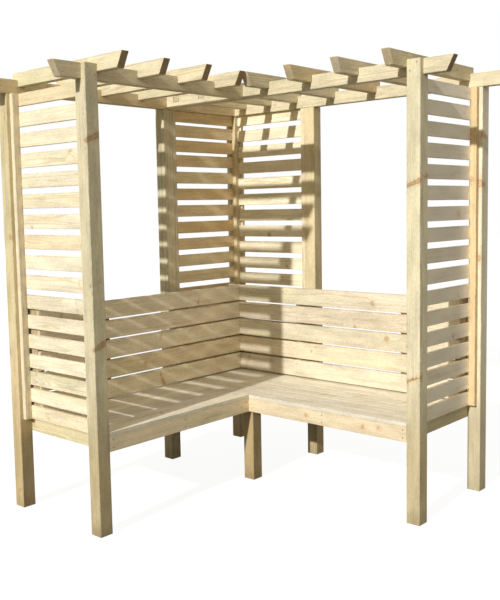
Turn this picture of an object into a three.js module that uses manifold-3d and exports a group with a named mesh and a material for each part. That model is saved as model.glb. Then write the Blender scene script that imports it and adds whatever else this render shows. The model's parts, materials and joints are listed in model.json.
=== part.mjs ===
// A corner arbour seat in planed softwood. Two bench wings meet in a corner, slatted panels close
// its ends and its back corner, and notched beams carry an open roof of rafters.
// Lengths are in millimetres and Z is up. The right wing runs along +X and the left one along -Y.
import * as THREE from "three";
import { mergeVertices } from "three/addons/utils/BufferGeometryUtils.js";
import Module from "manifold-3d";

const wasm = await Module();
wasm.setup();

// Plan of a wing
const wingLength = 1740; // from the back corner to the outer face of the end posts
const wingDepth = 690; // from the wall side to the outer face of the front posts

// Posts
const postSide = 70;
const postTongue = 28; // what stays beside the beam at a post's top

// Roof timbers
const roofTimberThickness = 42;
const roofTimberHeight = 70;
const beamTop = 2155;
const rafterSeatDepth = 35; // how deep a rafter sits in a beam
const rafterSideClearance = 1;
const overhangAbove = 148; // past the posts, along a timber's upper edge
const overhangBelow = 112; // past the posts, along its lower edge
const raftersPerWing = 4;
const leftRafterExtraReach = [22, 6, 21]; // of the left wing's uneven rafters, from its end inwards
const rafterTipClearance = 2; // between the two innermost rafters, which nearly meet
const innerRafterSetback = 110; // from the front line to the right wing's innermost rafter
const cornerRafterCount = 3;
const cornerRafterStart = 128; // from the back corner to the first corner rafter
const cornerRafterPitch = 201;

// Slatted panels
const slatWidth = 70;
const slatThickness = 17;
const leastTrimmedWidth = 20; // the slat next to the roof is ripped down to fit
const slatGap = 30;
const narrowSlatGap = 18;
const narrowGapCount = 3;
const panelBattenWidth = 27;
const panelBattenDepth = 35;
const panelTopClearance = 1; // below the beams
const panelDrop = 6; // how far the panels reach below the seat frame's top
const cornerSlatSetback = 24; // of a corner panel's slats behind the posts' inner faces
const cornerBattenWidth = 18; // of the batten behind those slats, beside the corner post
const cornerBattenDepth = 17;

// Seat
const seatTop = 484;
const boardThickness = 20; // of the seat, its fascias and the backrest
const seatBoardWidth = 95;
const seatBoardGap = 3;
const seatRearLap = 7; // how far the seat reaches over the rear rail
const boardButtClearance = 2; // where the left wing's seat boards meet the right wing's
const seatTimberThickness = 42;
const seatTimberHeight = 74;
const innerLegShift = 10; // how far the inner leg stands past the seat's inner corner

// Backrest
const backBoardCount = 5;
const backBoardWidth = 98;
const backBoardGap = 10;
const backBottomClearance = 9; // above the seat
const backUprightWidth = 35;
const backUprightDepth = 76;
const backUprightTopSetback = 15; // below the top board's upper edge, but not at the end posts
const backUprightLap = 17; // how far an upright stands in front of the middle post
const backUprightNotchClearance = 1; // behind the rear seat board
const leftEndBay = 395; // between the last two uprights of the left wing
const rightEndBay = 284; // between the last two uprights of the right wing
const backBoardEndClearance = 6; // between the right wing's back boards and the corner panel

// Heights and lines that follow from these
const beamBottom = beamTop - roofTimberHeight;
const rafterBottom = beamTop - rafterSeatDepth;
const panelTop = beamBottom - panelTopClearance;
const seatFrameTop = seatTop - boardThickness;
const panelHeight = panelTop - seatFrameTop + panelDrop;
const seatFrameBottom = seatFrameTop - seatTimberHeight;
const backRear = postSide + backUprightDepth;
const backFront = backRear + boardThickness;
const fasciaRear = wingDepth - boardThickness;
const rearRailFront = postSide + seatTimberThickness;
const seatRear = rearRailFront - seatRearLap;
const endPostInner = wingLength - postSide;
const frontPostInner = wingDepth - postSide;
const panelWidth = frontPostInner - postSide;
const cornerPanelRear = postSide - cornerSlatSetback - slatThickness;
const overallReach = wingLength + overhangAbove;

// Full slats stand on the foot of a panel. The trimmed slat at its head takes up what is left.
const slatPitch = slatWidth + slatGap;
const evenGapHeight = panelHeight + narrowGapCount * (slatGap - narrowSlatGap);
const fullSlatCount = Math.ceil((evenGapHeight - leastTrimmedWidth) / slatPitch) - 1;
const trimmedSlatWidth = evenGapHeight - fullSlatCount * slatPitch;

// Seat boards are laid from the front edge back, and the rear one takes up what is left. It is as
// wide as two, and runs under the backrest to the rear rail.
const seatDepth = wingDepth - seatRear;
const seatBoardPitch = seatBoardWidth + seatBoardGap;
const narrowSeatBoardCount = Math.floor(seatDepth / seatBoardPitch) - 1;
const rearSeatBoardWidth = seatDepth - narrowSeatBoardCount * seatBoardPitch;

const colours = {
  post: 0xd8c79b,
  beam: 0xd3bf90,
  rafter: 0xdccb9f,
  panel: 0xe6d3a4,
  backBoard: 0xe8d2a0,
  seatBoard: 0xe4d6af,
  frame: 0xcdb684,
};

function timber(colour) {
  const finish = { roughness: 0.78, metalness: 0, flatShading: true };
  return new THREE.MeshStandardMaterial({ color: colour, ...finish });
}

function addMesh(group, name, geometry, colour) {
  const mesh = new THREE.Mesh(geometry, timber(colour));
  mesh.name = name;
  group.add(mesh);
  return mesh;
}

// A square-cut piece between two opposite corners.
function addBar(group, name, low, high, colour) {
  const [length, depth, height] = high.map((value, axis) => value - low[axis]);
  const mesh = addMesh(group, name, new THREE.BoxGeometry(length, depth, height), colour);
  mesh.position.set(...low.map((value, axis) => (value + high[axis]) / 2));
}

// A flat outline of (length, height) points, given one thickness.
function outlineGeometry(points, thickness) {
  const shape = new THREE.Shape(points.map(([along, up]) => new THREE.Vector2(along, up)));
  return new THREE.ExtrudeGeometry(shape, { depth: thickness, bevelEnabled: false });
}

function toSolid(geometry) {
  const bare = geometry.clone();
  bare.deleteAttribute("normal");
  bare.deleteAttribute("uv");
  const merged = mergeVertices(bare);
  return new wasm.Manifold(
    new wasm.Mesh({
      numProp: 3,
      vertProperties: merged.attributes.position.array,
      triVerts: new Uint32Array(merged.index.array),
    }),
  );
}

function toGeometry(solid) {
  const mesh = solid.getMesh();
  const geometry = new THREE.BufferGeometry();
  geometry.setAttribute("position", new THREE.BufferAttribute(mesh.vertProperties, mesh.numProp));
  geometry.setIndex(new THREE.BufferAttribute(mesh.triVerts, 1));
  return geometry;
}

// A box whose corners have exactly the given values, so that boxes which share a face join there.
function boxSolid(low, high) {
  const box = new THREE.BoxGeometry(1, 1, 1);
  const corners = box.attributes.position;
  for (let index = 0; index < corners.count; index++) {
    const exact = low.map((value, axis) => (corners.getComponent(index, axis) < 0 ? value : high[axis]));
    corners.setXYZ(index, ...exact);
  }
  return toSolid(box);
}

function joined(solids) {
  return solids.reduce((whole, solid) => whole.add(solid));
}

// A post whose top is cut back on one side for the beam that it carries.
// The tongue stands at the wall side, or at the front of a front post.
function addPost(group, name, along, out, tongueAtFront) {
  const across = tongueAtFront
    ? [
        [0, 0],
        [postSide, 0],
        [postSide, beamTop],
        [postSide - postTongue, beamTop],
        [postSide - postTongue, beamBottom],
        [0, beamBottom],
      ]
    : [
        [0, 0],
        [postSide, 0],
        [postSide, beamBottom],
        [postTongue, beamBottom],
        [postTongue, beamTop],
        [0, beamTop],
      ];
  const mesh = addMesh(group, name, outlineGeometry(across, postSide), colours.post);
  mesh.rotation.set(Math.PI / 2, Math.PI / 2, 0);
  mesh.position.set(along, out, 0);
}

// The post in the back corner keeps an L-shaped tongue behind both wall beams.
function addCornerPost(group) {
  const post = boxSolid([0, 0, 0], [postSide, postSide, beamTop]);
  const seat = boxSolid([postTongue, postTongue, beamBottom], [2 * postSide, 2 * postSide, 2 * beamTop]);
  addMesh(group, "corner_post", toGeometry(post.subtract(seat)), colours.post);
}

// A beam along a wing, notched for the rafters, with its outer end cut back below.
function addBeam(group, name, start, front, rafterPlaces) {
  const points = [
    [start, beamBottom],
    [wingLength + overhangBelow, beamBottom],
    [wingLength + overhangAbove, beamTop],
  ];
  for (const place of [...rafterPlaces].sort((a, b) => b - a)) {
    const near = place - rafterSideClearance;
    const far = place + roofTimberThickness + rafterSideClearance;
    points.push([far, beamTop], [far, rafterBottom], [near, rafterBottom], [near, beamTop]);
  }
  points.push([start, beamTop]);
  const mesh = addMesh(group, name, outlineGeometry(points, roofTimberThickness), colours.beam);
  mesh.rotation.x = Math.PI / 2;
  mesh.position.y = front;
}

// A rafter across a wing, from the wall beam's outer face, on the beams' notches.
function addRafter(group, name, place, upperEnd, lowerEnd) {
  const points = [
    [postTongue, rafterBottom],
    [lowerEnd, rafterBottom],
    [upperEnd, rafterBottom + roofTimberHeight],
    [postTongue, rafterBottom + roofTimberHeight],
  ];
  const mesh = addMesh(group, name, outlineGeometry(points, roofTimberThickness), colours.rafter);
  mesh.rotation.set(Math.PI / 2, Math.PI / 2, 0);
  mesh.position.x = place;
}

// Slats on battens, which are given as [start, end, rear, front]. The panel's width runs along X,
// its slats start at Y = 0, and its top is at Z = 0.
function slattedPanel(narrowGapsAtTop, battens) {
  const solids = [];
  let slatTop = 0;
  for (let slat = 0; slat <= fullSlatCount; slat++) {
    const slatBottom = slatTop - (slat === 0 ? trimmedSlatWidth : slatWidth);
    solids.push(boxSolid([0, 0, slatBottom], [panelWidth, slatThickness, slatTop]));
    const gapsFromEnd = narrowGapsAtTop ? slat : fullSlatCount - 1 - slat;
    slatTop = slatBottom - (gapsFromEnd < narrowGapCount ? narrowSlatGap : slatGap);
  }
  for (const [start, end, rear, front] of battens)
    solids.push(boxSolid([start, rear, -panelHeight], [end, front, 0]));
  return toGeometry(joined(solids));
}

// An end panel stands between the end posts, with its slats level with their inner faces.
function addEndPanel(group, name) {
  const front = slatThickness + panelBattenDepth;
  const panel = slattedPanel(false, [
    [0, panelBattenWidth, slatThickness, front],
    [panelWidth - panelBattenWidth, panelWidth, slatThickness, front],
  ]);
  const mesh = addMesh(group, name, panel, colours.panel);
  mesh.rotation.z = -Math.PI / 2;
  mesh.position.set(endPostInner, postSide + panelWidth, panelTop);
}

// A corner panel stands between the corner post and the middle post. Its batten at the corner post
// stands behind the slats, and the one at the middle post in front of them.
function addCornerPanel(group, name, narrowGapsAtTop) {
  const panel = slattedPanel(narrowGapsAtTop, [
    [0, cornerBattenWidth, -cornerBattenDepth, 0],
    [panelWidth - panelBattenWidth, panelWidth, slatThickness, slatThickness + cornerSlatSetback],
  ]);
  const mesh = addMesh(group, name, panel, colours.panel);
  mesh.position.set(postSide, cornerPanelRear, panelTop);
}

// An upright stands on the rear rail, with its foot notched over the rear seat board.
function addBackUpright(group, name, place, top) {
  const notchRear = seatRear - backUprightNotchClearance;
  const points = [
    [postSide, seatFrameTop],
    [notchRear, seatFrameTop],
    [notchRear, seatTop],
    [backRear, seatTop],
    [backRear, top],
    [postSide, top],
  ];
  const mesh = addMesh(group, name, outlineGeometry(points, backUprightWidth), colours.frame);
  mesh.rotation.set(Math.PI / 2, Math.PI / 2, 0);
  mesh.position.x = place;
}

function addBackrest(group, side, start, endBay) {
  const bottom = seatTop + backBottomClearance;
  const pitch = backBoardWidth + backBoardGap;
  for (let board = 0; board < backBoardCount; board++) {
    const low = [start, backRear, bottom + board * pitch];
    const high = [endPostInner, backFront, low[2] + backBoardWidth];
    addBar(group, `${side}_back_board_${board + 1}`, low, high, colours.backBoard);
  }
  const boardsTop = bottom + (backBoardCount - 1) * pitch + backBoardWidth;
  const beforeMiddlePost = frontPostInner + backUprightLap - backUprightWidth;
  const last = endPostInner - backUprightWidth;
  const starts = [start, beforeMiddlePost, last - endBay - backUprightWidth, last];
  starts.forEach((place, index) => {
    const top = place === last ? boardsTop : boardsTop - backUprightTopSetback;
    addBackUpright(group, `${side}_back_upright_${index + 1}`, place, top);
  });
}

function addSeatBoards(group, side, start) {
  let rear = seatRear;
  for (let board = 0; board <= narrowSeatBoardCount; board++) {
    const front = rear + (board === 0 ? rearSeatBoardWidth : seatBoardWidth);
    const low = [start, rear, seatFrameTop];
    const high = [endPostInner, front, seatTop];
    addBar(group, `${side}_seat_board_${board + 1}`, low, high, colours.seatBoard);
    rear = front + seatBoardGap;
  }
}

// The seat's frame: a rail behind, one at the end post, and bearers from the rear rail to the front.
function addSeatFrame(group, side, railStart, bearers) {
  const endRail = endPostInner - seatTimberThickness;
  const part = (low, high) => boxSolid([...low, seatFrameBottom], [...high, seatFrameTop]);
  const solids = [
    part([railStart, postSide], [endRail, rearRailFront]),
    part([endRail, 0], [endPostInner, fasciaRear]),
  ];
  for (const [place, front] of bearers)
    solids.push(part([place, rearRailFront], [place + seatTimberThickness, front]));
  addMesh(group, `${side}_seat_frame`, toGeometry(joined(solids)), colours.frame);
}

function addFascia(group, side, start) {
  const low = [start, fasciaRear, seatFrameBottom];
  addBar(group, `${side}_seat_fascia`, low, [endPostInner, wingDepth, seatFrameTop], colours.seatBoard);
}

// The leg under the seat's inner corner stands behind the right wing's fascia.
function addInnerCornerLeg(group) {
  const end = wingDepth + innerLegShift;
  const low = [end - postSide, fasciaRear - postSide, 0];
  addBar(group, "inner_corner_leg", low, [end, fasciaRear, seatFrameTop], colours.post);
}

function places(first, pitch, count) {
  return Array.from({ length: count }, (_, index) => first + index * pitch);
}

// What both wings have. X runs along the wing from the back corner, Y out from the wall, Z up.
function addWing(group, side, plan) {
  addPost(group, `${side}_middle_post`, frontPostInner, 0, false);
  addPost(group, `${side}_rear_post`, endPostInner, 0, false);
  addPost(group, `${side}_front_post`, endPostInner, frontPostInner, true);
  const outermost = endPostInner - roofTimberThickness;
  const rafterPitch = (plan.innermostRafter - outermost) / (raftersPerWing - 1);
  const rafters = places(outermost, rafterPitch, raftersPerWing);
  const notches = [...rafters, ...plan.cornerRafters];
  addBeam(group, `${side}_wall_beam`, plan.wallBeamStart, postSide, notches);
  addBeam(group, `${side}_front_beam`, plan.frontBeamStart, wingDepth - postTongue, notches);
  rafters.forEach((place, index) => {
    const name = `${side}_rafter_${index + 1}`;
    const front = wingDepth + (plan.rafterExtraReach[index] ?? 0);
    addRafter(group, name, place, front + overhangAbove, front + overhangBelow);
  });
  addEndPanel(group, `${side}_end_panel`);
  addCornerPanel(group, `${side}_corner_panel`, plan.narrowGapsAtTop);
  addBackrest(group, side, plan.backStart, plan.endBay);
  addSeatBoards(group, side, plan.seatStart);
  addSeatFrame(group, side, plan.railStart, plan.bearers);
  addFascia(group, side, plan.fasciaStart);
}

const middleBearer = (wingDepth + endPostInner - seatTimberThickness) / 2;

// The left wing's timbers stop against the right wing's where the two meet.
const leftPlan = {
  wallBeamStart: postSide,
  frontBeamStart: wingDepth - postTongue,
  innermostRafter: wingDepth + overhangAbove + rafterTipClearance,
  rafterExtraReach: leftRafterExtraReach,
  cornerRafters: [],
  narrowGapsAtTop: true,
  backStart: backFront,
  endBay: leftEndBay,
  seatStart: wingDepth + boardButtClearance,
  railStart: rearRailFront,
  bearers: [
    [wingDepth, fasciaRear],
    [middleBearer, fasciaRear],
  ],
  fasciaStart: wingDepth,
};

// The right wing's timbers run on through the corner.
const rightPlan = {
  wallBeamStart: postTongue,
  frontBeamStart: postSide,
  innermostRafter: wingDepth + innerRafterSetback,
  rafterExtraReach: [],
  cornerRafters: places(cornerRafterStart, cornerRafterPitch, cornerRafterCount),
  narrowGapsAtTop: false,
  backStart: postSide + backBoardEndClearance,
  endBay: rightEndBay,
  seatStart: seatRear,
  railStart: postSide,
  bearers: [
    [backFront, wingDepth],
    [frontPostInner - seatTimberThickness, wingDepth],
    [middleBearer, fasciaRear],
  ],
  fasciaStart: frontPostInner,
};

const leftWing = new THREE.Group();
leftWing.rotation.z = -Math.PI / 2;
addWing(leftWing, "left", leftPlan);

const rightWing = new THREE.Group();
rightWing.scale.y = -1;
addWing(rightWing, "right", rightPlan);
addCornerPost(rightWing);
addInnerCornerLeg(rightWing);
rightPlan.cornerRafters.forEach((place, index) => {
  const front = wingDepth - postTongue;
  addRafter(rightWing, `corner_rafter_${index + 1}`, place, front, front);
});

// The origin is on the ground, in the middle of the whole.
const arbour = new THREE.Group();
arbour.position.set(-overallReach / 2, overallReach / 2, 0);
arbour.add(leftWing, rightWing);

export default arbour;
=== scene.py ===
"""The looks of a corner arbour seat: treated softwood, screw and nail heads, light, floor and camera."""
import json
import math
import random

import bmesh
import bpy
from mathutils import Matrix, Vector
from mathutils.geometry import tessellate_polygon


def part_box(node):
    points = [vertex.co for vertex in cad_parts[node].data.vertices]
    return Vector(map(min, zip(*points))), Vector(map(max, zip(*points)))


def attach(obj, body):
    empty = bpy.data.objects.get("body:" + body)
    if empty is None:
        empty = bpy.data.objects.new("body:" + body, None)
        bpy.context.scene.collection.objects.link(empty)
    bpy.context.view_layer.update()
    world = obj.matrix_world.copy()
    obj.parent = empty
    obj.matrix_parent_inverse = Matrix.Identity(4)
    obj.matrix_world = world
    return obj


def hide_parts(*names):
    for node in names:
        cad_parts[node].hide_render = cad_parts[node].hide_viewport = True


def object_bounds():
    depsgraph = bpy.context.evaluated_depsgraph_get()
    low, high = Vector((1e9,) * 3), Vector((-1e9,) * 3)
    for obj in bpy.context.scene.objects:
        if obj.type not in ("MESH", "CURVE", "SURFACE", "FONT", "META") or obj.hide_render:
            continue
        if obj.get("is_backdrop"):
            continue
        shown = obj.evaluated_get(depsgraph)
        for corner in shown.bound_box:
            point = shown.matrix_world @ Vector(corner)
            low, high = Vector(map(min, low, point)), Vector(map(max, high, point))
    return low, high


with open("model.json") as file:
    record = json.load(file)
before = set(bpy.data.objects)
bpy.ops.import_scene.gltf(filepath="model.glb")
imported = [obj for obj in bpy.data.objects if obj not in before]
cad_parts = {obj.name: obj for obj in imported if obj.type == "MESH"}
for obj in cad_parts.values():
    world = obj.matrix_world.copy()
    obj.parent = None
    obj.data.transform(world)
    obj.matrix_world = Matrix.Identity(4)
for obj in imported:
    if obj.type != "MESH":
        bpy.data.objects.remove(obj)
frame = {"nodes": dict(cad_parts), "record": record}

CAD_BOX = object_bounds()

# The photograph's camera, in metres and degrees, and its lens, in pixels of the photograph
PHOTO_SIZE = (500, 600)
CAMERA_PLACE = (2.6997, -3.1150, 1.5025)
CAMERA_YAW = 42.523
CAMERA_PITCH = -5.388
CAMERA_ROLL = -1.163
FOCAL_LENGTH = 830.50
LENS_AXIS = (228.35, 286.83)
SENSOR_WIDTH = 36

# Light and floor, in degrees and metres
SUN_DIRECTION = (0.118, -1.0, 0.5135)  # towards the sun, as the streaks on the left seat show it
SUN_SPREAD = 1.2
SUN_STRENGTH = 3.12
SUN_COLOUR = (1.0, 0.99, 0.96)
SKY_STRENGTH = 0.44
SKY_COLOUR = (1.0, 0.92, 0.76, 1)
FLOOR_SIDE = 60
FLOOR_COLOUR = (0.13, 0.13, 0.12, 1)
FLOOR_GLOW = 0.93  # what makes the floor white to the camera, and lights nothing

# Timber
WELD = 1e-5
WELD_DIGITS = 5
Z_AXIS = 2
SIZE_DIGITS = 4  # sides that are alike to this many digits count as equal
FLAT_ANGLE = math.radians(1)
ARRIS = 0.0028
ARRIS_SEGMENTS = 3
ARRIS_PROFILE = 0.5  # a quarter of a circle
CUT_SLOPE = 0.7  # a face that looks this much along the grain is end grain
KNOT_COUNT = 6  # that a timber can have at most
FAR_KNOT = (9, 0, 0.001)  # stands for no knot

# How timbers differ. Each range is drawn from evenly, and each spread is a standard deviation. Lengths
# are in metres.
SEEDS = (0, 40)
INNER_PITH = (-0.3, 0.3)  # a pith inside the timber, as shares of its width and depth
SIDE_CHANCE = 0.15  # how often the pith lies beside the timber, so that knots run across its wide faces
SIDE_PITH = (-0.4, 0.4)
SIDE_PITH_GAP = (0.004, 0.02)
OUTER_PITH = (-0.5, 0.5)  # a pith behind one of the wide faces
OUTER_PITH_GAP = (0.004, 0.05)
RING_WIDTH = (0.0030, 0.0060)
LIGHT_SPREAD = 0.4
HUE_SPREAD = 0.2
KNOTS_PER_PITCH = (0.2, 1.5)
KNOT_PLACE = (-0.48, 0.48)  # along the timber, as a share of its length
KNOT_AIM = (-0.5, 0.5)  # where a branch comes out, as shares of the width and depth
KNOT_SIZE = (0.25, 1)
KNOT_SIZE_POWER = 1.5  # makes small knots the more common ones
BOLDNESS = (0.2, 0.8)
PLAIN_END_GRAIN = 0.3

# Grain. A scale is how many waves a metre has along the grain and both ways across it, and a sway
# is how far they push things, in metres.
PITH_SCALE = (1.1, 5, 5)
PITH_SWAY = 0.05
RING_SCALE = (7, 70, 70)
RING_SWAY = 0.0022
KNOT_SCALE = (80, 80, 80)
KNOT_SWAY = 0.017
STREAK_SCALE = (2.2, 75, 75)
PATCH_SCALE = (1.6, 9, 9)
FIBRE_SCALE = (14, 600, 600)
BLOTCH_SCALE = (6, 22, 22)
MOTTLE_SCALE = (60, 200, 200)
WORN_SCALE = (30, 120, 120)
DAMP_SCALE = (12, 50, 50)
DAMP_SWAY = 0.09
GRAIN_RELIEF = 0.0009

# How fine a noise gets, and what makes a noise differ from the others of its timber
PLAIN_DETAIL = 2.0
FIBRE_DETAIL = 3.0
BLOTCH_DETAIL = 4.0
MOTTLE_SEED = 2.0
PATCH_SEED = 5.0
BLOTCH_SEED = 9.0
NOISE_MIDDLE = (0.5, 0.5, 0.5)

# Between which values of its noise a thing changes from one of its ends to the other
EVEN_NOISE = (0.3, 0.7)
BLOTCH_NOISE = (0.28, 0.72)
PATCH_NOISE = (0.35, 0.68)
WARM_STREAK_NOISE = (0.48, 0.72)
DARK_STREAK_NOISE = (0.26, 0.5)
WORN_NOISE = (0.4, 0.6)

# A yearly ring: where its dark late part grows and ends, as shares of the ring, and how much years differ
LATE_GROWTH = (0.25, 0.88)
LATE_END = (1.0, 0.93)
LATE_STRENGTHS = (0.25, 0.95)

# A knot: how far from its middle a thing starts and where it is full, in the knot's own radii
KNOT_EDGE = (1.3, 0.6)
KNOT_CORE_EDGE = (0.0, 0.8)
RIM_INNER_EDGE = (0.5, 0.95)
RIM_OUTER_EDGE = (1.4, 1.0)
HALO_EDGE = (3.2, 1.0)
BENT_RINGS_EDGE = (4.5, 0.8)
NO_KNOT = 9.0  # how far away the nearest knot counts as, where a timber has none
KNOT_LEAN = 0.4  # how much further along the timber a knot is for each metre from the pith
KNOT_PUSH = 0.007  # how far rings go round a knot
KNOT_FULL_RADIUS = 0.09  # how far from the pith a knot has its full thickness
KNOT_GROWTH = (0.85, 1.2)  # its thickness at the pith and that far from it, as shares of its radius

# How much of its own colour each thing gives the wood at most
WARM_START = 0.3  # from this warmth on, heartwood shows all over and not only in streaks
WARM_SHARE = 0.75
WARM_STREAK_SHARE = 0.5
GREEN_SHARE = 0.8
GREY_SHARE = 0.85
HALO_SHARE = 0.4
KNOT_SHARE = 0.6
RIM_SHARE = 0.5
CUT_SHARE = 0.6
LOW_TINT_SHARE = 0.35

# Where a shade starts and where it is full, in metres from an edge or from the ground
ARRIS_SHADE_REACH = (0.006, 0.0015)
DAMP_REACH = (0.05, -0.03)
LOW_DARKENING_REACH = (0.75, 0.3)

# How much lighter or darker each thing makes the wood, as shares of its brightness
FIBRE_SHADES = (0.95, 1.05)  # what all the others are added to
BLOTCH_SHADES = (-0.13, 0.09)
MOTTLE_SHADES = (-0.07, 0.07)
STREAK_SHADE = -0.15
TONE_SHADE = 0.07
CUT_SHADE = -0.5
ARRIS_SHADE = -0.15
DAMP_SHADE = -0.22
LOW_DARKENING = -0.26

# The wood's surface: how rough it is, how far rings and fibres stand up, and how much it shines
ROUGHNESS = (0.64, 0.78)
KNOT_POLISH = -0.12
RING_RELIEF = 0.4
FIBRE_RELIEF = 0.5
RIM_RELIEF = -0.4
BUMP_STRENGTH = 0.5
WOOD_SPECULAR = 0.25

# Screws and nails, in metres, and their metal
SCREW_RADIUS = 0.0042
SCREW_SIDES = 20
SCREW_PROUD = 0.0004
SCREW_EASE = 0.0005
SCREW_DEPTH = 0.002
RECESS_ARM = 0.0023
RECESS_WIDTH = 0.0005
RECESS_DEPTH = 0.0012
NAIL_RADIUS = 0.0019
NAIL_CROWN_RADIUS = 0.0013
NAIL_SIDES = 10
FIXING_SHARES = (0.25, 0.75)  # where a pair of fixings sits across a board
METALLIC = 0.8
METAL_ROUGHNESS = (0.38, 0.7)
GRIME_SCALE = (500, 500, 500)
GRIME_SEED = 1.0
GRIME_DETAIL = 3.0
GRIME_NOISE = (0.4, 0.65)


class Wing:
    """One wing of the seat, measured along it from the back corner, out from its wall side, and up."""

    def __init__(self, side, along, out):
        self.side = side
        self.along = Vector(along)
        self.out = Vector(out)

    def point(self, along, out, up):
        return CORNER + self.along * along + self.out * out + Vector((0, 0, up))

    def measure(self, point):
        offset = point - CORNER
        return Vector((offset.dot(self.along), offset.dot(self.out), offset.z))

    def node(self, name):
        return f"{self.side}_{name}"

    def box(self, name):
        """The lowest and highest corner of a node of this wing, in the wing's own measures."""
        return self.box_of(self.node(name))

    def box_of(self, node):
        ends = [self.measure(corner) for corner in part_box(node)]
        return Vector(map(min, *ends)), Vector(map(max, *ends))


def nodes_named(start):
    return [part["node"] for part in frame["record"]["subparts"] if part["node"].startswith(start)]


SEAT_BOARD_NODES = len(nodes_named("left_seat_board"))
REAR_SEAT_BOARDS = 2  # that the rear seat board's node stands for
BACK_BOARDS = len(nodes_named("left_back_board"))
BACK_UPRIGHTS = len(nodes_named("left_back_upright"))
CORNER = Vector((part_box("corner_post")[0].x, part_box("corner_post")[1].y, 0))
RIGHT = Wing("right", (1, 0, 0), (0, -1, 0))
LEFT = Wing("left", (0, -1, 0), (1, 0, 0))
UP = Vector((0, 0, 1))


# Solids

def node_solid(name):
    """A copy of a node's solid with each flat side as one face."""
    solid = bmesh.new()
    solid.from_mesh(frame["nodes"][name].data)
    bmesh.ops.remove_doubles(solid, verts=solid.verts, dist=WELD)
    bmesh.ops.dissolve_limit(solid, angle_limit=FLAT_ANGLE, verts=solid.verts, edges=solid.edges)
    return solid


def box_solid(first, last):
    """A box between two opposite corners."""
    low, high = Vector(map(min, first, last)), Vector(map(max, first, last))
    solid = bmesh.new()
    shape = Matrix.Translation((low + high) / 2) @ Matrix.Diagonal((*(high - low), 1))
    bmesh.ops.create_cube(solid, size=1, matrix=shape)
    return solid


def levels(values):
    """The different values among many, in rising order."""
    return sorted({round(value, WELD_DIGITS) for value in values})


def pairs(values):
    return list(zip(values[0::2], values[1::2]))


class Panel:
    """The slats and battens that a panel's node holds as one solid, each as its two opposite corners.
    A face that has corners at more than two heights belongs to the slats, any other to the battens."""

    def __init__(self, name):
        self.points = [vertex.co for vertex in frame["nodes"][name].data.vertices]
        low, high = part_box(name)
        self.thin, self.wide = (0, 1) if high.x - low.x < high.y - low.y else (1, 0)
        faces = levels(point[self.thin] for point in self.points)
        self.slat_faces = [face for face in faces if len(self.on_face(face, Z_AXIS)) > 2]
        slat_ends = pairs(self.on_face(self.slat_faces[0], Z_AXIS))
        width = (low[self.wide], high[self.wide])
        self.slats = [self.corners(self.slat_faces, width, ends) for ends in slat_ends]
        self.battens = []
        for face in faces:
            if face not in self.slat_faces:
                joint = min(self.slat_faces, key=lambda slat_face: abs(slat_face - face))
                for ends in pairs(self.on_face(face, self.wide)):
                    self.battens.append(self.corners((face, joint), ends, (low.z, high.z)))

    def on_face(self, face, axis):
        return levels(point[axis] for point in self.points if abs(point[self.thin] - face) < WELD)

    def corners(self, thin_ends, wide_ends, heights):
        first, last = Vector(), Vector()
        first[self.thin], last[self.thin] = thin_ends
        first[self.wide], last[self.wide] = wide_ends
        first.z, last.z = heights
        return first, last


def seat_frame_bars(wing):
    """The rails and bearers of a wing's seat frame, each as two opposite corners in the wing's measures."""
    name = wing.node("seat_frame")
    points = [wing.measure(vertex.co) for vertex in frame["nodes"][name].data.vertices]
    low, high = wing.box("seat_frame")
    rail_rear, rail_front = levels(point.y for point in points)[1:3]
    joints = levels(point.x for point in points if abs(point.y - rail_front) < WELD)
    rail_start, *bearer_sides, end_rail = joints

    def front(start, end):
        return max(point.y for point in points if start - WELD < point.x < end + WELD)

    rear_rail = ((rail_start, rail_rear), (end_rail, rail_front))
    last_rail = ((end_rail, low.y), (high.x, front(high.x, high.x)))
    bearers = [((start, rail_front), (end, front(start, end))) for start, end in pairs(bearer_sides)]
    return [((*a, low.z), (*b, high.z)) for a, b in [rear_rail, last_rail, *bearers]]


def seat_boards(wing):
    """The lowest and highest corner of each seat board. The rear node stands for two of them."""
    rear, *narrow = [wing.box(f"seat_board_{index + 1}") for index in range(SEAT_BOARD_NODES)]
    width = narrow[0][1].y - narrow[0][0].y
    gap = narrow[0][0].y - rear[1].y
    joint = rear[1].y - width
    behind = (rear[0], Vector((rear[1].x, joint - gap, rear[1].z)))
    before = (Vector((rear[0].x, joint, rear[0].z)), rear[1])
    return [behind, before, *narrow]


def wing_solid(wing, corners):
    return box_solid(*[wing.point(*corner) for corner in corners])


# Timbers

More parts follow.
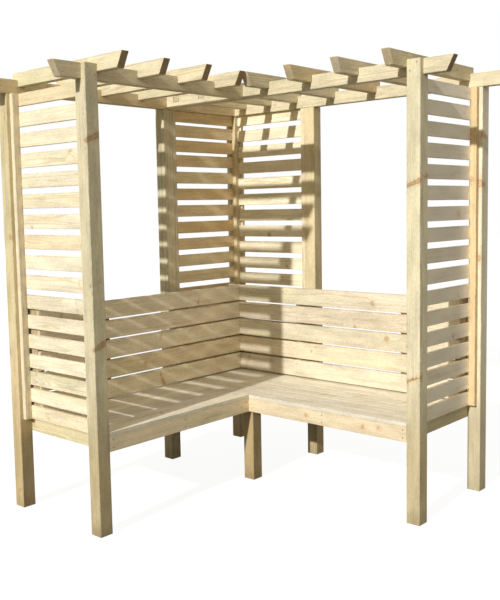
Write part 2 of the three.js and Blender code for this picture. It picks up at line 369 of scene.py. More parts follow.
class Nature:
    """What one timber's wood is like, drawn from its own random numbers."""

    def __init__(self, label, size, kind):
        draw = random.Random(label)
        length, width, depth = size
        self.seed = draw.uniform(*SEEDS)
        cut = draw.random()
        side = draw.choice((-1, 1))
        if "pith" in kind:
            self.pith = (kind["pith"][0] * width, kind["pith"][1] * depth)
        elif cut < kind.get("heart_chance", 0):
            self.pith = (draw.uniform(*INNER_PITH) * width, draw.uniform(*INNER_PITH) * depth)
        elif cut > 1 - SIDE_CHANCE:
            beside = side * (width / 2 + draw.uniform(*SIDE_PITH_GAP))
            self.pith = (beside, draw.uniform(*SIDE_PITH) * depth)
        else:
            across = draw.uniform(*OUTER_PITH) * width
            self.pith = (across, side * (depth / 2 + draw.uniform(*OUTER_PITH_GAP)))
        self.ring = draw.uniform(*RING_WIDTH)
        light, warm, green, foot = kind["tone"]
        self.tone = (
            light + draw.gauss(0, LIGHT_SPREAD),
            max(-1, min(1, warm + draw.gauss(0, HUE_SPREAD))),
            max(0, min(1, green + draw.gauss(0, HUE_SPREAD))),
            foot,
        )
        count = round(draw.uniform(*KNOTS_PER_PITCH) * length / kind["knot_pitch"])
        self.knots = []
        for _ in range(count):
            place = draw.uniform(*KNOT_PLACE) * length
            aim = (draw.uniform(*KNOT_AIM) * width, draw.uniform(*KNOT_AIM) * depth)
            self.add_knot(place, aim, kind["knot_radius"] * draw.uniform(*KNOT_SIZE) ** KNOT_SIZE_POWER)
        for share, across, deep, radius in kind.get("knots", ()):
            self.add_knot(share * length - length / 2, (across * width, deep * depth), radius)
        self.knots = self.knots[-KNOT_COUNT:]
        self.knots += [FAR_KNOT] * (KNOT_COUNT - len(self.knots))
        self.boldness = kind.get("boldness", draw.uniform(*BOLDNESS))
        self.end_grain_and_shade = kind.get("end_grain_and_shade", PLAIN_END_GRAIN)

    def add_knot(self, place, aim, radius):
        angle = math.atan2(aim[1] - self.pith[1], aim[0] - self.pith[0])
        self.knots.append((place, angle, radius))


class Piece:
    """Timbers that are gathered into one mesh, with what the wood material has to know of each."""

    def __init__(self, name):
        self.name = name
        self.corners = []
        self.faces = []
        self.smooth = []
        self.cut = []
        self.facts = {"place": [], "half": [], "pith": [], "tone": [], "seed": [], "boldness": []}
        self.facts.update({f"knot_{index}": [] for index in range(KNOT_COUNT)})

    def add(self, solid, kind, label):
        """Eases the solid's arrises and adds it."""
        points = [vert.co for vert in solid.verts]
        low = Vector([min(point[axis] for point in points) for axis in range(3)])
        high = Vector([max(point[axis] for point in points) for axis in range(3)])
        size, centre = high - low, (low + high) / 2
        order = sorted(range(3), key=lambda axis: -round(size[axis], SIZE_DIGITS))
        nature = Nature(label, [size[axis] for axis in order], kind)
        arrises = [edge for edge in solid.edges if edge.is_convex]
        eased = bmesh.ops.bevel(
            solid,
            geom=arrises,
            offset=kind.get("arris", ARRIS),
            segments=ARRIS_SEGMENTS,
            profile=ARRIS_PROFILE,
            affect="EDGES",
            clamp_overlap=True,
        )
        rounded = set(eased["faces"])
        solid.verts.index_update()
        first = len(self.corners)
        for vert in solid.verts:
            offset = vert.co - centre
            self.corners.append(tuple(vert.co))
            self.facts["place"].append([offset[axis] for axis in order])
            self.facts["half"].append([size[axis] / 2 for axis in order])
            self.facts["pith"].append([*nature.pith, nature.ring])
            self.facts["tone"].append(nature.tone)
            self.facts["seed"].append([nature.seed])
            self.facts["boldness"].append([nature.boldness])
            for index, knot in enumerate(nature.knots):
                self.facts[f"knot_{index}"].append(knot)
        for face in solid.faces:
            self.faces.append([first + vert.index for vert in face.verts])
            self.smooth.append(face in rounded)
            # End faces carry how dark the timber's ends are: end grain, and on some timbers also painted
            # shade.
            self.cut.append(nature.end_grain_and_shade if abs(face.normal[order[0]]) > CUT_SLOPE else 0.0)
        solid.free()

    def finish(self, slot, *replaced):
        mesh = bpy.data.meshes.new(self.name)
        mesh.from_pydata(self.corners, [], self.faces)
        mesh.polygons.foreach_set("use_smooth", self.smooth)
        types = {1: ("FLOAT", "value"), 3: ("FLOAT_VECTOR", "vector"), 4: ("FLOAT_COLOR", "color")}
        for fact, rows in self.facts.items():
            data_type, field = types[len(rows[0])]
            layer = mesh.attributes.new(fact, data_type, "POINT")
            layer.data.foreach_set(field, [value for row in rows for value in row])
        mesh.attributes.new("cut", "FLOAT", "FACE").data.foreach_set("value", self.cut)
        mesh.materials.append(WOODS[slot])
        show(mesh, slot, *replaced)


def show(mesh, slot, *replaced):
    """Makes a mesh a piece of the object, which stands for the replaced nodes."""
    piece = bpy.data.objects.new(mesh.name, mesh)
    bpy.context.scene.collection.objects.link(piece)
    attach(piece, "root")
    if replaced:
        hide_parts(*replaced)


# Materials

def linear(red, green, blue):
    """A colour as the photograph writes it, from 0 to 255, as the linear one that shaders take."""
    shares = [value / 255 for value in (red, green, blue)]
    bent = [share / 12.92 if share < 0.04045 else ((share + 0.055) / 1.055) ** 2.4 for share in shares]
    return (*bent, 1)


HEARTWOOD = linear(224, 189, 131)
TREATED_GREEN = linear(206, 206, 160)
KNOT_HALO = linear(218, 178, 124)
KNOT_CORE = linear(168, 122, 80)
KNOT_WOOD = linear(196, 148, 98)
KNOT_RIM = linear(132, 92, 60)
# The colour of end grain, which on ends that face away from the key light is also painted shade.
END_GRAIN_AND_SHADE = linear(176, 140, 96)
# The colour that the lower part of posts is tinted towards.
LOW_TINT = linear(208, 180, 122)
GREY = (206, 199, 184)
PALE_GREY = (240, 232, 216)
ZINC = linear(176, 166, 142)
RUST = linear(112, 92, 66)


class Graph:
    """Short names for the nodes of one material."""

    def __init__(self, name):
        self.material = bpy.data.materials.new(name)
        self.material.use_nodes = True
        self.tree = self.material.node_tree
        self.shader = self.tree.nodes["Principled BSDF"]

    def feed(self, socket, value):
        if isinstance(value, bpy.types.NodeSocket):
            self.tree.links.new(value, socket)
        else:
            socket.default_value = value

    def node(self, kind, inputs=(), **settings):
        node = self.tree.nodes.new(kind)
        for key, value in settings.items():
            setattr(node, key, value)
        for socket, value in dict(inputs).items():
            self.feed(node.inputs[socket], value)
        return node

    def math(self, operation, *values):
        return self.node("ShaderNodeMath", enumerate(values), operation=operation).outputs[0]

    def times(self, first, second):
        return self.math("MULTIPLY", first, second)

    def total(self, *values):
        whole = values[0]
        for value in values[1:]:
            whole = self.math("ADD", whole, value)
        return whole

    def vector(self, operation, *values):
        node = self.node("ShaderNodeVectorMath", enumerate(values), operation=operation)
        single = operation in ("LENGTH", "DISTANCE", "DOT_PRODUCT")
        return node.outputs["Value" if single else "Vector"]

    def attribute(self, name, output="Vector"):
        return self.node("ShaderNodeAttribute", attribute_name=name).outputs[output]

    def split(self, vector):
        return self.node("ShaderNodeSeparateXYZ", {0: vector}).outputs

    def join(self, *values):
        return self.node("ShaderNodeCombineXYZ", enumerate(values)).outputs[0]

    def noise(self, place, scale, seed, detail=PLAIN_DETAIL, output="Fac"):
        """Noise with its own scale along the grain and in both directions across it."""
        stretched = self.vector("MULTIPLY", place, scale)
        inputs = {"Vector": stretched, "W": seed, "Scale": 1.0, "Detail": detail}
        return self.node("ShaderNodeTexNoise", inputs, noise_dimensions="4D").outputs[output]

    def sway(self, place, scale, seed, reach):
        """A shift to all sides, up to about half the reach."""
        swing = self.noise(place, scale, seed, output="Color")
        spread = self.vector("SUBTRACT", swing, NOISE_MIDDLE)
        return self.vector("MULTIPLY", spread, (reach, reach, reach))

    def ease(self, value, start, end, first=0.0, last=1.0):
        """Goes smoothly from first to last while the value goes from start to end."""
        inputs = {"Value": value, "From Min": start, "From Max": end, "To Min": first, "To Max": last}
        return self.node("ShaderNodeMapRange", inputs, interpolation_type="SMOOTHSTEP").outputs[0]

    def mix(self, share, first, second, kind="MIX"):
        node = self.node("ShaderNodeMix", data_type="RGBA", blend_type=kind)
        below, above = [socket for socket in node.inputs if socket.type == "RGBA"]
        self.feed(node.inputs["Factor"], share)
        self.feed(below, first)
        self.feed(above, second)
        return next(socket for socket in node.outputs if socket.type == "RGBA")


def nearest_knot(graph, place, y, z, radius, seed):
    """How far a point lies from the nearest knot's middle, in that knot's own radii.
    Knots are branches that grow outwards from the pith and get thicker on their way."""
    x = graph.split(place)[0]
    spot = graph.vector("ADD", graph.join(x, y, z), graph.sway(place, KNOT_SCALE, seed, KNOT_SWAY))
    thicker = graph.ease(radius, 0.0, KNOT_FULL_RADIUS, *KNOT_GROWTH)
    nearest = NO_KNOT
    for index in range(KNOT_COUNT):
        knot_x, angle, size = graph.split(graph.attribute(f"knot_{index}"))
        across = graph.times(radius, graph.math("COSINE", angle))
        deep = graph.times(radius, graph.math("SINE", angle))
        leaning = graph.total(knot_x, graph.times(radius, KNOT_LEAN))
        gap = graph.vector("DISTANCE", spot, graph.join(leaning, across, deep))
        nearest = graph.math("MINIMUM", nearest, graph.math("DIVIDE", gap, graph.times(size, thicker)))
    return nearest


def yearly_rings(graph, place, radius, ring, knot_push, seed):
    """How much of the dark late part of a yearly ring shows, from 0 to 1."""
    waves = graph.times(graph.noise(place, RING_SCALE, seed), RING_SWAY)
    grown = graph.total(radius, graph.times(knot_push, -KNOT_PUSH), waves)
    years = graph.math("DIVIDE", grown, ring)
    within = graph.math("FRACT", years)
    late_part = graph.times(graph.ease(within, *LATE_GROWTH), graph.ease(within, *LATE_END))
    year = graph.math("ADD", graph.math("FLOOR", years), seed)
    luck = graph.node("ShaderNodeTexWhiteNoise", {"W": year}, noise_dimensions="1D").outputs["Value"]
    return graph.times(late_part, graph.ease(luck, 0.0, 1.0, *LATE_STRENGTHS))


def wood(name, early, late, grey=GREY):
    """Softwood that is cut from a log: yearly rings round a pith, knots that grow from it, and stains.
    Early and late are the colours of a ring's pale and dark part, and grey is what a cool tone mixes it
    towards."""
    graph = Graph(name)
    place = graph.attribute("place")
    seed = graph.attribute("seed", "Fac")
    pith_y, pith_z, ring = graph.split(graph.attribute("pith"))
    light, warm, treated = graph.split(graph.attribute("tone"))
    foot = graph.attribute("tone", "Alpha")
    cut = graph.attribute("cut", "Fac")

    # The log: how far each point lies from the pith, which wanders along the timber
    from_pith = graph.vector("SUBTRACT", place, graph.join(0.0, pith_y, pith_z))
    grown = graph.vector("ADD", from_pith, graph.sway(place, PITH_SCALE, seed, PITH_SWAY))
    y, z = graph.split(grown)[1:3]
    radius = graph.vector("LENGTH", graph.join(0.0, y, z))
    nearest = nearest_knot(graph, place, y, z, radius, seed)
    boldness = graph.attribute("boldness", "Fac")
    knot = graph.times(graph.ease(nearest, *KNOT_EDGE), boldness)
    rim = graph.times(graph.ease(nearest, *RIM_INNER_EDGE), graph.ease(nearest, *RIM_OUTER_EDGE))
    rim = graph.times(rim, boldness)
    halo = graph.times(graph.ease(nearest, *HALO_EDGE), boldness)
    rings = yearly_rings(graph, place, radius, ring, graph.ease(nearest, *BENT_RINGS_EDGE), seed)

    # Colour
    colour = graph.mix(rings, linear(*early), linear(*late))
    streaks = graph.noise(place, STREAK_SCALE, seed, FIBRE_DETAIL)
    all_over = graph.ease(warm, WARM_START, 1.0, 0.0, WARM_SHARE)
    streak_share = graph.ease(warm, 0.0, 1.0, 0.0, WARM_STREAK_SHARE)
    in_streaks = graph.times(graph.ease(streaks, *WARM_STREAK_NOISE), streak_share)
    colour = graph.mix(graph.math("MAXIMUM", all_over, in_streaks), colour, HEARTWOOD)
    patches = graph.noise(place, PATCH_SCALE, graph.total(seed, PATCH_SEED))
    green_share = graph.times(graph.ease(patches, *PATCH_NOISE), graph.times(treated, GREEN_SHARE))
    colour = graph.mix(green_share, colour, TREATED_GREEN)
    # A cool tone mixes the wood towards grey; on the right end panel and the right rear post this grey is
    # painted cool sky light.
    colour = graph.mix(graph.ease(warm, 0.0, -1.0, 0.0, GREY_SHARE), colour, linear(*grey))
    colour = graph.mix(graph.times(halo, HALO_SHARE), colour, KNOT_HALO)
    knot_wood = graph.mix(graph.ease(nearest, *KNOT_CORE_EDGE), KNOT_CORE, KNOT_WOOD)
    colour = graph.mix(graph.times(knot, KNOT_SHARE), colour, knot_wood)
    colour = graph.mix(graph.times(rim, RIM_SHARE), colour, KNOT_RIM)

    # Lighter and darker: fibres, blotches, mottle, streaks, the timber's own tone, end grain, which on
    # ends that face away from the key light is also painted shade, worn arrises, and posts that are damp
    # at the foot and darker in their lower part
    fibres = graph.noise(place, FIBRE_SCALE, seed, FIBRE_DETAIL)
    blotches = graph.noise(place, BLOTCH_SCALE, graph.total(seed, BLOTCH_SEED), BLOTCH_DETAIL)
    mottle = graph.noise(place, MOTTLE_SCALE, graph.total(seed, MOTTLE_SEED))
    half = graph.attribute("half")
    edge = graph.vector("SUBTRACT", half, graph.vector("ABSOLUTE", place))
    edge_y, edge_z = graph.split(edge)[1:3]
    on_arris = graph.ease(graph.math("MAXIMUM", edge_y, edge_z), *ARRIS_SHADE_REACH)
    arris = graph.times(on_arris, graph.ease(graph.noise(place, WORN_SCALE, seed), *WORN_NOISE))
    height = graph.total(graph.split(place)[0], graph.split(half)[0])
    ragged = graph.total(height, graph.times(graph.noise(place, DAMP_SCALE, seed), -DAMP_SWAY))
    damp = graph.times(graph.ease(ragged, *DAMP_REACH), foot)
    # Posts are darker and more yellow-brown in their lower part: fully so from 0.3 m down, not at all above
    # 0.75 m.
    darker_low = graph.times(graph.ease(height, *LOW_DARKENING_REACH), foot)
    value = graph.total(
        graph.ease(fibres, *EVEN_NOISE, *FIBRE_SHADES),
        graph.ease(blotches, *BLOTCH_NOISE, *BLOTCH_SHADES),
        graph.ease(mottle, *EVEN_NOISE, *MOTTLE_SHADES),
        graph.ease(streaks, *DARK_STREAK_NOISE, STREAK_SHADE, 0.0),
        graph.times(light, TONE_SHADE),
        graph.times(cut, CUT_SHADE),
        graph.times(arris, ARRIS_SHADE),
        graph.times(damp, DAMP_SHADE),
        graph.times(darker_low, LOW_DARKENING),
    )
    colour = graph.mix(1.0, colour, graph.join(value, value, value), "MULTIPLY")
    colour = graph.mix(graph.times(cut, CUT_SHARE), colour, END_GRAIN_AND_SHADE)
    colour = graph.mix(graph.times(darker_low, LOW_TINT_SHARE), colour, LOW_TINT)

    # Surface
    roughness = graph.total(graph.ease(fibres, *EVEN_NOISE, *ROUGHNESS), graph.times(knot, KNOT_POLISH))
    raised = graph.total(
        graph.times(rings, RING_RELIEF),
        graph.times(fibres, FIBRE_RELIEF),
        graph.times(rim, RIM_RELIEF),
    )
    inputs = {"Height": raised, "Strength": BUMP_STRENGTH, "Distance": GRAIN_RELIEF}
    bump = graph.node("ShaderNodeBump", inputs)
    graph.feed(graph.shader.inputs["Base Color"], colour)
    graph.feed(graph.shader.inputs["Roughness"], roughness)
    graph.feed(graph.shader.inputs["Normal"], bump.outputs[0])
    graph.shader.inputs["Specular IOR Level"].default_value = WOOD_SPECULAR
    return graph.material


def screw_metal():
    """Dull zinc with a little rust and dirt."""
    graph = Graph("screw_steel")
    place = graph.node("ShaderNodeTexCoord").outputs["Object"]
    grime = graph.noise(place, GRIME_SCALE, GRIME_SEED, GRIME_DETAIL)
    colour = graph.mix(graph.ease(grime, *GRIME_NOISE), ZINC, RUST)
    graph.feed(graph.shader.inputs["Base Color"], colour)
    graph.feed(graph.shader.inputs["Roughness"], graph.ease(grime, *EVEN_NOISE, *METAL_ROUGHNESS))
    graph.shader.inputs["Metallic"].default_value = METALLIC
    return graph.material


WOODS = {
    "post_timber": wood("post_timber", (240, 231, 200), (222, 204, 160)),
    "roof_timber": wood("roof_timber", (240, 230, 200), (220, 200, 156)),
    "slat_timber": wood("slat_timber", (246, 236, 210), (228, 208, 168), PALE_GREY),
    "back_board_timber": wood("back_board_timber", (241, 230, 208), (224, 202, 165)),
    "seat_board_timber": wood("seat_board_timber", (243, 236, 218), (228, 214, 184)),
    "frame_timber": wood("frame_timber", (232, 216, 178), (206, 178, 132)),
}
SCREW_METAL = screw_metal()

# Kinds of timber. Their tone is how light, how warm (or grey, below zero) and how green they are, and
# whether they stand on the ground. heart_chance is how often the pith lies inside the timber, knot_pitch
# about how far its knots lie apart, knot_radius how large they get, and arris how far its edges are
# eased. Single timbers may also have boldness, which is how much their knots show, end_grain_and_shade,
# which is how dark their ends are, from the end grain and, on ends that face away from the key light, from
# painted shade, a pith of their own, in shares of their width and depth, and knots at known places: along,
# across and deep, in shares of the timber's size, and the knot's radius.
POST = {"heart_chance": 0.5, "tone": (0, 0.3, 0.5, 1), "knot_pitch": 0.55, "knot_radius": 0.016}
ROOF = {"heart_chance": 0.3, "tone": (-0.5, 0.45, 0.2, 0), "knot_pitch": 0.6, "knot_radius": 0.013}
SLAT = {"tone": (0, 0.25, 0.25, 0), "knot_pitch": 0.6, "knot_radius": 0.013, "arris": 0.002}
BOARD = {"tone": (0, 0.3, 0.3, 0), "knot_pitch": 0.5, "knot_radius": 0.012}
SEAT = {"tone": (1.2, -0.5, 0.1, 0), "knot_pitch": 0.9, "knot_radius": 0.009, "arris": 0.0018}
FRAME = {
    "heart_chance": 0.3,
    "tone": (-0.3, 0.5, 0.4, 0),
    "knot_pitch": 0.6,
    "knot_radius": 0.012,
    "arris": 0.0015,
}
KINDS = {
    "post_timber": POST,
    "roof_timber": ROOF,
    "slat_timber": SLAT,
    "back_board_timber": BOARD,
    "seat_board_timber": SEAT,
    "frame_timber": FRAME,
}

# What single timbers and groups of them have of their own, found by the start of their names. Some tones
# here also paint light or shade, as the comments at them say.
OWN = {
    "left_end_panel": {"tone": (0.4, 0.25, 0.1, 0)},
    "left_end_panel_batten": {"tone": (0.4, 0.5, 0.0, 0)},
    # The right end panel's slats are made much paler and greyer: painted cool sky light on their face in
    # shade.
    "right_end_panel": {"tone": (4.1, -0.95, 0.0, 0)},
    "right_end_panel_batten": {"tone": (1.2, 0.55, 0.0, 0)},
    # The left corner panel's slats are made warmer and more orange: partly the wood's own tone, partly
    # painted warm shade.
    "left_corner_panel": {"tone": (1.5, 0.75, 0.0, 0)},
    "left_corner_panel_batten": {"tone": (-1.5, 0.4, 0.0, 0)},
    "right_corner_panel": {"tone": (1.4, 0.2, 0.35, 0)},
    "right_corner_panel_batten": {"tone": (0.0, 0.3, 0.0, 0)},
    "right_back_board": {"tone": (-1.6, 0.3, 0.15, 0)},
    "left_back_board": {"tone": (0.2, 0.45, 0.15, 0)},
    "right_seat_fascia": {"tone": (0.9, 0.9, 0.45, 0), "knot_pitch": 0.4, "knot_radius": 0.011},
    "left_seat_fascia": {"tone": (2.1, 0.5, 0.3, 0), "knot_pitch": 0.4, "knot_radius": 0.012},
    "left_front_beam": {"tone": (-0.9, 0.65, 0.0, 0)},
    # The ends of these timbers face away from the key light and are made darker: painted shade on top of the
    # end grain.
    "right_front_beam": {"end_grain_and_shade": 1},
    "right_wall_beam": {"end_grain_and_shade": 1},
    "left_rafter": {"end_grain_and_shade": 1},
    "corner_post": {"tone": (-0.3, 0.85, 0.0, 1)},
    "inner_corner_leg": {"tone": (-1.5, 0.65, 0.0, 1)},
    "left_back_upright": {"tone": (-5, 0.7, 0.0, 0)},
    "right_back_upright": {"tone": (-4, 0.7, 0.0, 0)},
    # The left middle post is made darker: painted shade, as little light reaches it inside the corner.
    "left_middle_post": {"tone": (-2.7, 0.6, 0.0, 1)},
    "left_rear_post": {"tone": (0.2, 0.35, 0.1, 1)},
    "right_middle_post": {"tone": (-0.5, 0.5, 0.2, 1)},
    # The right rear post is made paler and greyer: painted sky light on its face in shade.
    "right_rear_post": {"tone": (3.8, -0.6, 0.2, 1)},
    "right_front_post": {
        "tone": (-0.5, 0.3, 0.3, 1),
        "pith": (-0.62, -0.42),
        "knots": [(0.735, 0.5, -0.46, 0.009), (0.315, 0.5, -0.38, 0.008)],
        "boldness": 1,
    },
    "left_front_post": {
        "tone": (-1.9, 0.5, 0.1, 1),
        "pith": (0.42, -0.62),
        "knots": [(0.840, 0.46, 0.5, 0.011), (0.540, 0.4, 0.5, 0.006), (0.404, 0.5, -0.1, 0.009)],
        "boldness": 0.9,
    },
}


def kind_of(slot, label):
    kind = dict(KINDS[slot])
    for start, own in OWN.items():
        if label.startswith(start):
            kind.update(own)
    return kind


def add_timbers(name, slot, solids):
    """Makes one piece of labelled solids, which stands for the node of that name."""
    piece = Piece(f"{name}_wood")
    for label, solid in solids:
        piece.add(solid, kind_of(slot, label), label)
    piece.finish(slot, name)


def panel_solids(name):
    panel = Panel(name)
    for label, boxes in (("slat", panel.slats), ("batten", panel.battens)):
        for index, box in enumerate(boxes):
            yield f"{name}_{label}_{index + 1}", box_solid(*box)


def seat_frame_solids(wing):
    for index, bar in enumerate(seat_frame_bars(wing)):
        yield wing.node(f"seat_frame_bar_{index + 1}"), wing_solid(wing, bar)


def rear_seat_solids(wing):
    for index, board in enumerate(seat_boards(wing)[:REAR_SEAT_BOARDS]):
        yield wing.node(f"rear_seat_board_{index + 1}"), wing_solid(wing, board)


def dress_nodes():
    """Gives every node its piece of real-looking timber."""
    for part in frame["record"]["subparts"]:
        name, slot = part["node"], part["material_slot"]
        wing = LEFT if name.startswith("left") else RIGHT
        if name.endswith("panel"):
            solids = panel_solids(name)
        elif name.endswith("seat_frame"):
            solids = seat_frame_solids(wing)
        elif name.endswith("seat_board_1"):
            solids = rear_seat_solids(wing)
        else:
            solids = [(name, node_solid(name))]
        add_timbers(name, slot, solids)


# Fixings

def ring_points(radius, height, sides):
    turns = [2 * math.pi * index / sides for index in range(sides)]
    return [Vector((radius * math.cos(turn), radius * math.sin(turn), height)) for turn in turns]


def cross_points(height):
    """The outline of a cross recess."""
    points = []
    for quarter in range(4):
        turn = Matrix.Rotation(math.radians(90 * quarter), 3, "Z")
        for x, y in ((RECESS_ARM, -RECESS_WIDTH), (RECESS_ARM, RECESS_WIDTH), (RECESS_WIDTH, RECESS_WIDTH)):
            points.append(turn @ Vector((x, y, height)))
    return points


def walls(lower, upper, count):
    """The faces between two rings of points, which start at the given places."""
    steps = [(index, (index + 1) % count) for index in range(count)]
    return [(lower + a, lower + b, upper + b, upper + a) for a, b in steps]


def screw_shape():
    """The points and faces of a countersunk head with a cross recess, which looks up Z."""
    rings = [
        ring_points(SCREW_RADIUS, -SCREW_DEPTH, SCREW_SIDES),
        ring_points(SCREW_RADIUS, SCREW_PROUD / 2, SCREW_SIDES),
        ring_points(SCREW_RADIUS - SCREW_EASE, SCREW_PROUD, SCREW_SIDES),
    ]
    mouth, bottom = cross_points(SCREW_PROUD), cross_points(SCREW_PROUD - RECESS_DEPTH)
    points = [point for ring in rings for point in ring] + mouth + bottom
    top = 2 * SCREW_SIDES
    mouth_start = top + SCREW_SIDES
    bottom_start = mouth_start + len(mouth)
    faces = [tuple(reversed(range(SCREW_SIDES)))]
    faces += walls(0, SCREW_SIDES, SCREW_SIDES) + walls(SCREW_SIDES, top, SCREW_SIDES)
    faces += walls(mouth_start, bottom_start, len(mouth))
    faces.append(tuple(range(bottom_start, bottom_start + len(bottom))))
    for triangle in tessellate_polygon([rings[2], mouth]):
        corners = [points[top + index] for index in triangle]
        upwards = (corners[1] - corners[0]).cross(corners[2] - corners[0]).z > 0
        order = triangle if upwards else tuple(reversed(triangle))
        faces.append(tuple(top + index for index in order))
    return points, faces


def nail_shape():
    """The points and faces of a small flat nail head, which looks up Z."""
    rings = [
        ring_points(NAIL_RADIUS, -SCREW_DEPTH, NAIL_SIDES),
        ring_points(NAIL_RADIUS, SCREW_PROUD / 2, NAIL_SIDES),
        ring_points(NAIL_CROWN_RADIUS, SCREW_PROUD, NAIL_SIDES),
    ]
    faces = [tuple(reversed(range(NAIL_SIDES)))]
    faces += walls(0, NAIL_SIDES, NAIL_SIDES) + walls(NAIL_SIDES, 2 * NAIL_SIDES, NAIL_SIDES)
    faces.append(tuple(range(2 * NAIL_SIDES, 3 * NAIL_SIDES)))
    return [point for ring in rings for point in ring], faces


def add_fixings(name, shape, places):
    """Makes one piece of heads, each at its place and looking its own way."""
    draw = random.Random(name)
    points, faces = shape
    all_points, all_faces = [], []
    for place, normal in places:
        turn = normal.to_track_quat("Z", "Y").to_matrix() @ Matrix.Rotation(draw.uniform(0, math.pi), 3, "Z")
        first = len(all_points)
        all_points += [place + turn @ point for point in points]
        all_faces += [tuple(first + index for index in face) for face in faces]
    mesh = bpy.data.meshes.new(name)
    mesh.from_pydata(all_points, [], all_faces)
    mesh.materials.append(SCREW_METAL)
    show(mesh, "screw_steel")


def between(low, high):
    """Where a pair of fixings sits between two edges."""
    return [low + (high - low) * share for share in FIXING_SHARES]


def back_nails(wing):
    for upright in range(BACK_UPRIGHTS):
        low, high = wing.box(f"back_upright_{upright + 1}")
        along = (low.x + high.x) / 2
        for board in range(BACK_BOARDS):
            board_low, board_high = wing.box(f"back_board_{board + 1}")
            for up in between(board_low.z, board_high.z):
                yield wing.point(along, board_high.y, up), wing.out


def cross_bars(wing):
    """The middles of the bearers and of the end rail, along the wing."""
    return [(first[0] + last[0]) / 2 for first, last in seat_frame_bars(wing)[1:]]


def seat_nails(wing):
    behind_back = wing.box("back_board_1")[1].y
    for along in cross_bars(wing):
        for low, high in seat_boards(wing):
            for out in between(low.y, high.y):
                if low.x < along < high.x and behind_back < out:
                    yield wing.point(along, out, high.z), UP


def fascia_screws(wing):
    low, high = wing.box("seat_fascia")
    for along in cross_bars(wing):
        if low.x < along < high.x:
            for up in between(low.z, high.z):
                yield wing.point(along, high.y, up), wing.out


def post_screws(wing):
    """Screws through the posts' tongues into the beams."""
    for name, facing in (("middle_post", -1), ("rear_post", -1), ("front_post", 1)):
        low, high = wing.box(name)
        beam_low, beam_high = wing.box("front_beam" if facing > 0 else "wall_beam")
        face = high.y if facing > 0 else low.y
        ups, alongs = between(beam_low.z, beam_high.z), between(low.x, high.x)
        for along, up in zip(alongs, ups):
            yield wing.point(along, face, up), wing.out * facing


def rafter_screws(wing, rafters):
    """A screw down through each rafter into each beam."""
    for rafter in rafters:
        low, high = wing.box_of(rafter)
        for beam in ("wall_beam", "front_beam"):
            beam_low, beam_high = wing.box(beam)
            yield wing.point((low.x + high.x) / 2, (beam_low.y + beam_high.y) / 2, high.z), UP


def panel_nails(name):
    """Two nails through each slat into each batten."""
    panel = Panel(name)
    for batten_first, batten_last in panel.battens:
        wide = (batten_first[panel.wide] + batten_last[panel.wide]) / 2
        joint = batten_last[panel.thin]
        face = next(face for face in panel.slat_faces if abs(face - joint) > WELD)
        normal = Vector()
        normal[panel.thin] = math.copysign(1, face - joint)
        for low, high in panel.slats:
            for up in between(low.z, high.z):
                place = Vector()
                place[panel.thin], place[panel.wide], place.z = face, wide, up
                yield place, normal


def add_all_fixings():
    screw, nail = screw_shape(), nail_shape()
    for wing in (LEFT, RIGHT):
        rafters = nodes_named(wing.node("rafter"))
        if wing is RIGHT:
            rafters += nodes_named("corner_rafter")
        add_fixings(wing.node("back_nails"), nail, back_nails(wing))
        add_fixings(wing.node("seat_nails"), nail, seat_nails(wing))
        add_fixings(wing.node("fascia_screws"), screw, fascia_screws(wing))
        add_fixings(wing.node("post_screws"), screw, post_screws(wing))
        add_fixings(wing.node("rafter_screws"), screw, rafter_screws(wing, rafters))
        for panel in ("end_panel", "corner_panel"):
            add_fixings(wing.node(f"{panel}_nails"), nail, panel_nails(wing.node(panel)))


# Studio

def add_camera():
    lens = bpy.data.cameras.new("photo_camera")
    lens.sensor_fit = "AUTO"
    lens.sensor_width = SENSOR_WIDTH
    long_side = max(PHOTO_SIZE)
    lens.lens = FOCAL_LENGTH * SENSOR_WIDTH / long_side
    lens.shift_x = (PHOTO_SIZE[0] / 2 - LENS_AXIS[0]) / long_side
    lens.shift_y = (LENS_AXIS[1] - PHOTO_SIZE[1] / 2) / long_side
    camera = bpy.data.objects.new("photo_camera", lens)
    turn = Matrix.Rotation(math.radians(CAMERA_YAW), 4, "Z")
    tilt = Matrix.Rotation(math.radians(90 + CAMERA_PITCH), 4, "X")
    roll = Matrix.Rotation(math.radians(CAMERA_ROLL), 4, "Z")
    camera.matrix_world = Matrix.Translation(CAMERA_PLACE) @ turn @ tilt @ roll
    bpy.context.scene.collection.objects.link(camera)
    bpy.context.scene.camera = camera


def add_sun():
    lamp = bpy.data.lights.new("key_light", "SUN")
    lamp.energy = SUN_STRENGTH
    lamp.angle = math.radians(SUN_SPREAD)
    lamp.color = SUN_COLOUR
    sun = bpy.data.objects.new("key_light", lamp)
    sun.rotation_euler = Vector(SUN_DIRECTION).to_track_quat("Z", "Y").to_euler()
    bpy.context.scene.collection.objects.link(sun)


def seen_directly(tree):
    """1 for what the camera sees, also in gloss or through glass, and 0 for what only lights the scene."""
    path = tree.nodes.new("ShaderNodeLightPath")
    seen = path.outputs["Is Camera Ray"]
    for name in ("Is Glossy Ray", "Is Transmission Ray"):
        either = tree.nodes.new("ShaderNodeMath")
        either.operation = "MAXIMUM"
        tree.links.new(seen, either.inputs[0])
        tree.links.new(path.outputs[name], either.inputs[1])
        seen = either.outputs[0]
    return seen


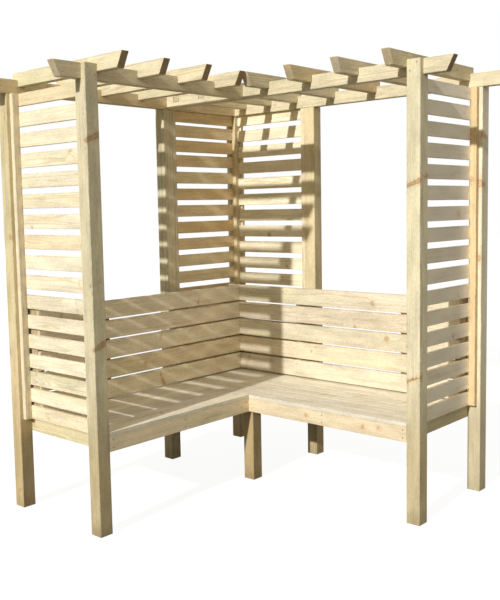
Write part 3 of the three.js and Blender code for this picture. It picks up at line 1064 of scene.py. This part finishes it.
def scaled(tree, seen, first, last):
    """A value that is first for light and last for what is seen."""
    span = tree.nodes.new("ShaderNodeMapRange")
    tree.links.new(seen, span.inputs["Value"])
    span.inputs["To Min"].default_value = first
    span.inputs["To Max"].default_value = last
    return span.outputs[0]


def add_sky():
    world = bpy.data.worlds.new("studio")
    bpy.context.scene.world = world
    world.use_nodes = True
    tree = world.node_tree
    background = tree.nodes["Background"]
    seen = seen_directly(tree)
    tint = tree.nodes.new("ShaderNodeMix")
    tint.data_type = "RGBA"
    below, above = [socket for socket in tint.inputs if socket.type == "RGBA"]
    below.default_value, above.default_value = SKY_COLOUR, (1, 1, 1, 1)
    tree.links.new(seen, tint.inputs["Factor"])
    tinted = next(socket for socket in tint.outputs if socket.type == "RGBA")
    tree.links.new(tinted, background.inputs["Color"])
    tree.links.new(scaled(tree, seen, SKY_STRENGTH, 1), background.inputs["Strength"])


def add_floor():
    mesh = bpy.data.meshes.new("floor")
    reach = FLOOR_SIDE / 2
    corners = [(-reach, -reach, 0), (reach, -reach, 0), (reach, reach, 0), (-reach, reach, 0)]
    mesh.from_pydata(corners, [], [(0, 1, 2, 3)])
    floor = bpy.data.objects.new("floor", mesh)
    bpy.context.scene.collection.objects.link(floor)
    material = bpy.data.materials.new("pale_floor")
    material.use_nodes = True
    tree = material.node_tree
    shader = tree.nodes["Principled BSDF"]
    shader.inputs["Base Color"].default_value = FLOOR_COLOUR
    shader.inputs["Roughness"].default_value = 1
    shader.inputs["Specular IOR Level"].default_value = 0
    shader.inputs["Emission Color"].default_value = (1, 1, 1, 1)
    tree.links.new(scaled(tree, seen_directly(tree), 0, FLOOR_GLOW), shader.inputs["Emission Strength"])
    mesh.materials.append(material)
    floor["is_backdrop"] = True


dress_nodes()
add_all_fixings()
add_camera()
add_sun()
add_sky()
add_floor()
bpy.context.scene.view_settings.view_transform = "Standard"

boxes = {"cad": CAD_BOX, "visual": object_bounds()}
{name: [list(corner) for corner in box] for name, box in boxes.items()}
